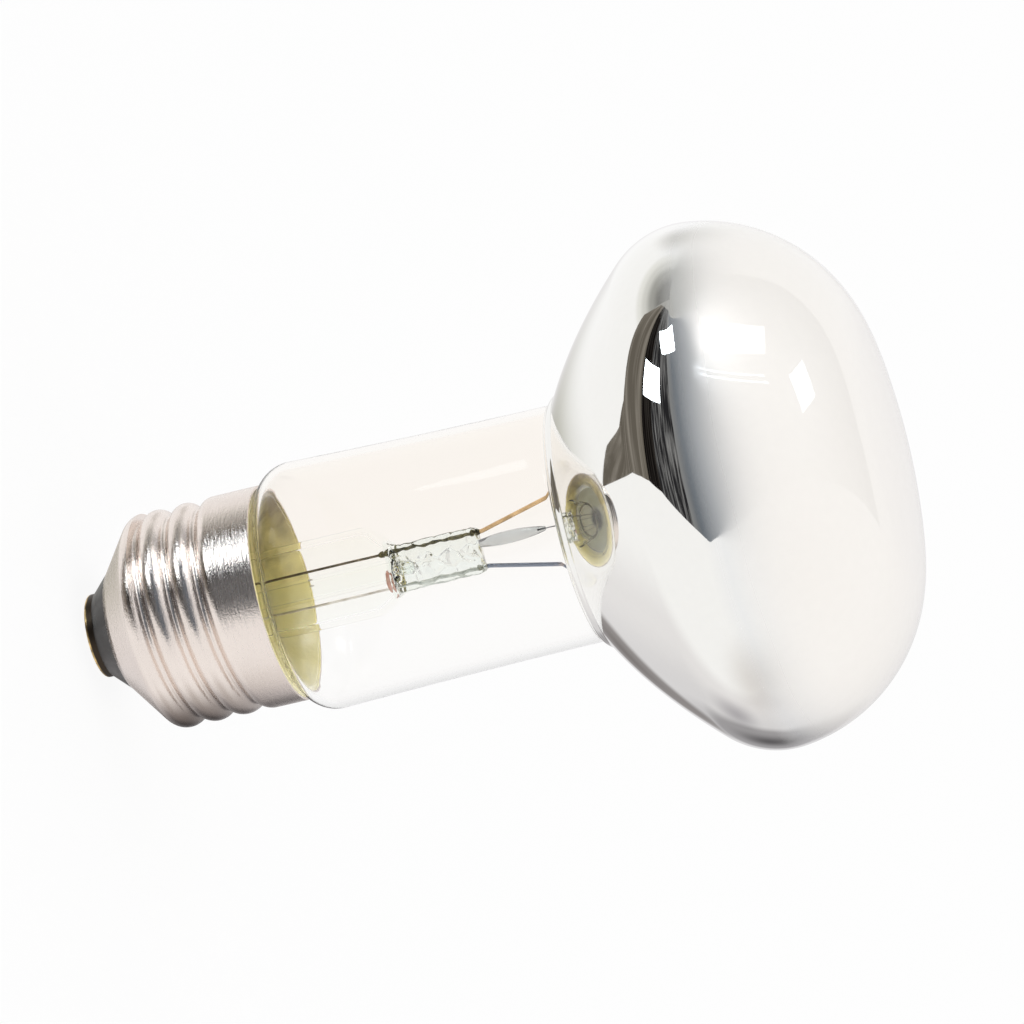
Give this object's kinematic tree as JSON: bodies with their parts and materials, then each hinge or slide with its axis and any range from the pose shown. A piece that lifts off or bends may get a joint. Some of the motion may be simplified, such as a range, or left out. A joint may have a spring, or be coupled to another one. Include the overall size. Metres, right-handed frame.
{
  "type": "reflector spot lamp bulb",
  "caption": "Reflector basking bulb with a mirrored glass bowl, frosted domed face, clear neck and rolled screw cap; throws a warm downward beam.",
  "frame": {"origin": "centre of the centre contact's outer flat, on the lamp's axis, where the lamp holder's contact meets it", "axes": "+Z along the lamp's axis from the cap towards the frosted face; +X towards the side lead inside the stem; +Y towards the solder drop on the cap's rim"},
  "size_m": [0.063, 0.063, 0.1],
  "materials": {
    "bulb_glass": "clear neck, mirrored bowl, frosted face",
    "stem_glass": "clear",
    "cap_metal": "rolled, bright",
    "insulator_glass": "black, glossy",
    "contact_brass": "tarnished",
    "solder": "dull",
    "cement": "cured resin cement",
    "copper_wire": "drawn copper",
    "seal_wire": "copper coat, borated",
    "inner_wire": "copper coat, drawn",
    "tungsten": "drawn, dark"
  },
  "bodies": {
    "root": {"envelope": "bulb_glass", "stem": "stem_glass", "exhaust_tube": "stem_glass", "arbor": "stem_glass", "filament": "tungsten", "filament_support": "tungsten", "outer_lead_centre": "copper_wire", "seal_wire_centre": "seal_wire", "inner_lead_centre": "inner_wire", "outer_lead_side": "copper_wire", "seal_wire_side": "seal_wire", "inner_lead_side": "inner_wire", "screw_shell": "cap_metal", "insulator": "insulator_glass", "centre_contact": "contact_brass", "contact_solder": "solder", "side_solder": "solder", "capping_cement": "cement"}
  },
  "joints": []
}
